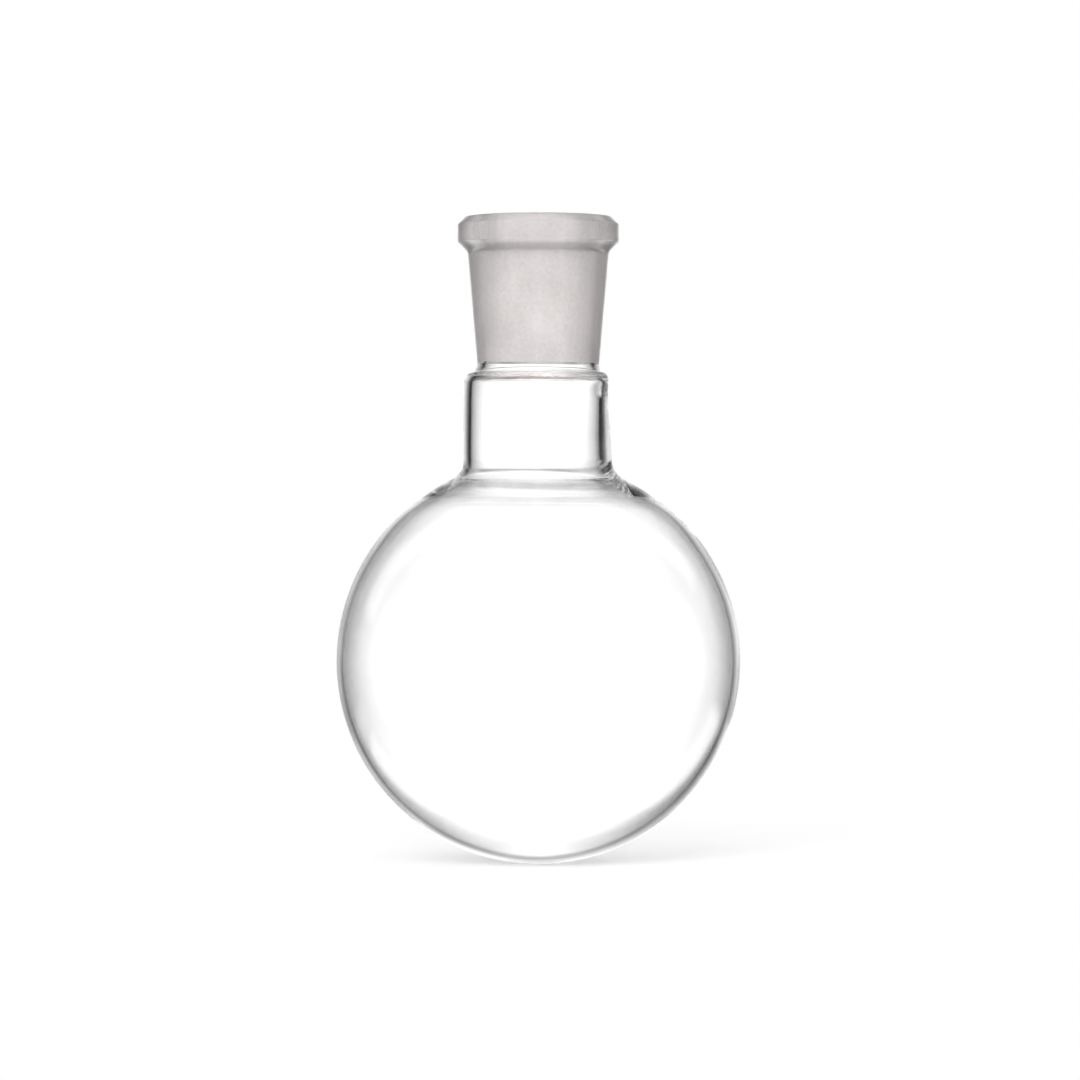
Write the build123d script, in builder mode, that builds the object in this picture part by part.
from build123d import *
import math
import os

# Short-neck boiling flask with a round bottom: a blown bulb, a straight neck and a
# tapered ground-glass socket with a beaded rim, all fused into one piece of glass.
# Millimetres. +Z is the flask's axis, towards its mouth, and the origin is the lowest
# point of the bulb.

# Bulb
bulb_radius = 40.0  # outside
bulb_wall = 1.4

# Neck, a plain tube between the bulb and the socket
neck_radius = 14.7  # outside
neck_wall = 1.6
neck_length = 15.5  # its straight stretch
flare_radius = 4.0  # outside, where the bulb runs up into the neck

# Shoulder, where the neck draws in to the foot of the socket
shoulder_radius = 2.0  # outside, the rounded edge at the neck's top
throat_radius = 1.6  # outside, the hollow above it
inner_throat_radius = 3.0  # inside, the rounded edge below the ground seat
inner_shoulder_radius = 1.0  # inside, the hollow below it

# Ground seat, a 24/29 joint: 24.0 across at the mouth, 29 long, 1 in 10 on the diameter
seat_mouth_radius = 12.0
seat_length = 29.0
seat_slope = 0.05  # radius lost for each millimetre of depth
seat_edge = 0.3  # rounding between the seat and the rim's face

# Glass around the seat
socket_wall_foot = 1.55  # at the throat
socket_wall_top = 2.35  # under the collar
seat_above_throat = 0.2  # the ground seat ends this far above the narrowest place

# Collar, the bead that strengthens the mouth
collar_overhang = 2.0  # beyond the socket below it, by an underside at 45 degrees
collar_band = 3.5  # height of its upright face
collar_chamfer = 1.5  # between the upright face and the rim's flat face, at 45 degrees
collar_edge = 0.5  # rounding of its edges
collar_blend = 1.5  # hollow under it


def flare_centre_height(ball_radius, tube_radius, fillet_radius):
    """Height of the centre of a fillet that touches both the ball and the tube."""
    reach = ball_radius + fillet_radius
    return bulb_radius + math.sqrt(reach**2 - (tube_radius + fillet_radius) ** 2)


def flare_turn(ball_radius, tube_radius, fillet_radius):
    """Angle in degrees above the ball's equator at which the fillet leaves the ball."""
    rise = flare_centre_height(ball_radius, tube_radius, fillet_radius) - bulb_radius
    return math.degrees(math.atan2(rise, tube_radius + fillet_radius))


def bend_turn(step, radii):
    """Turn in degrees of each arc of an S-bend that moves sideways by step."""
    return math.degrees(math.acos(1 - step / radii))


# Outside radii and heights, from the bulb up
bulb_turn = flare_turn(bulb_radius, neck_radius, flare_radius)
neck_foot = flare_centre_height(bulb_radius, neck_radius, flare_radius)
neck_top = neck_foot + neck_length

seat_foot_radius = seat_mouth_radius - seat_slope * seat_length
throat_outer_radius = seat_foot_radius + socket_wall_foot
shoulder_bends = shoulder_radius + throat_radius
shoulder_turn = bend_turn(neck_radius - throat_outer_radius, shoulder_bends)
throat_height = neck_top + shoulder_bends * math.sin(math.radians(shoulder_turn))

seat_foot = throat_height + seat_above_throat
rim_height = seat_foot + seat_length

# The socket's outer cone ends where the collar's underside meets it.
band_foot = rim_height - collar_chamfer - collar_band
cone_top = band_foot - collar_overhang
cone_top_radius = seat_mouth_radius - seat_slope * (rim_height - cone_top) + socket_wall_top
collar_radius = cone_top_radius + collar_overhang

# The cone's straight outside leaves the throat's hollow at a tangent.
cone_run = cone_top_radius - throat_outer_radius - throat_radius
cone_rise = cone_top - throat_height
cone_lean = math.degrees(
    math.atan2(cone_run, cone_rise)
    + math.asin(throat_radius / math.hypot(cone_run, cone_rise))
)

# Inside radii and heights
bulb_inner_radius = bulb_radius - bulb_wall
neck_inner_radius = neck_radius - neck_wall
inner_flare_radius = flare_radius + neck_wall
inner_bulb_turn = flare_turn(bulb_inner_radius, neck_inner_radius, inner_flare_radius)
inner_neck_foot = flare_centre_height(bulb_inner_radius, neck_inner_radius, inner_flare_radius)

seat_lean = math.degrees(math.atan(seat_slope))
inner_bends = inner_throat_radius + inner_shoulder_radius
seat_foot_step = inner_throat_radius * (1 - math.cos(math.radians(seat_lean)))
inner_turn = bend_turn(neck_inner_radius - seat_foot_radius + seat_foot_step, inner_bends)

with BuildPart() as flask:
    with BuildSketch(Plane.XZ) as section:
        with BuildLine() as outline:
            # Up the outside
            bulb = CenterArc((0, bulb_radius), bulb_radius, -90, 90 + bulb_turn)
            flare = JernArc(bulb @ 1, bulb % 1, flare_radius, -bulb_turn)
            neck = Line(flare @ 1, (neck_radius, neck_top))
            shoulder = JernArc(neck @ 1, neck % 1, shoulder_radius, shoulder_turn)
            throat = JernArc(
                shoulder @ 1, shoulder % 1, throat_radius, -(shoulder_turn + cone_lean)
            )
            # Round the collar and down the ground seat
            collar = FilletPolyline(
                throat @ 1,
                (cone_top_radius, cone_top),
                (collar_radius, band_foot),
                (collar_radius, band_foot + collar_band),
                (collar_radius - collar_chamfer, rim_height),
                (seat_mouth_radius, rim_height),
                (seat_foot_radius, seat_foot),
                radius=[collar_blend, collar_edge, collar_edge, collar_edge, seat_edge],
            )
            # Down the inside
            inner_throat = JernArc(
                collar @ 1, collar % 1, inner_throat_radius, inner_turn + seat_lean
            )
            inner_shoulder = JernArc(
                inner_throat @ 1, inner_throat % 1, inner_shoulder_radius, -inner_turn
            )
            inner_neck = Line(inner_shoulder @ 1, (neck_inner_radius, inner_neck_foot))
            inner_flare = JernArc(
                inner_neck @ 1, inner_neck % 1, inner_flare_radius, inner_bulb_turn
            )
            inner_bulb = CenterArc(
                (0, bulb_radius), bulb_inner_radius, inner_bulb_turn, -(90 + inner_bulb_turn)
            )
            Line(inner_bulb @ 1, bulb @ 0)
        make_face()
    revolve(axis=Axis.Z)
flask.part.label = "flask"

os.makedirs("parts", exist_ok=True)
export_step(flask.part, "parts/flask.step")
print(f"height {rim_height:.2f}, neck {neck_foot:.2f} to {neck_top:.2f}, throat {throat_height:.2f}")
print(f"seat from {seat_foot:.2f}, cone top {cone_top:.2f} at radius {cone_top_radius:.2f}")
print(f"volume {flask.part.volume / 1000:.2f} cm3")
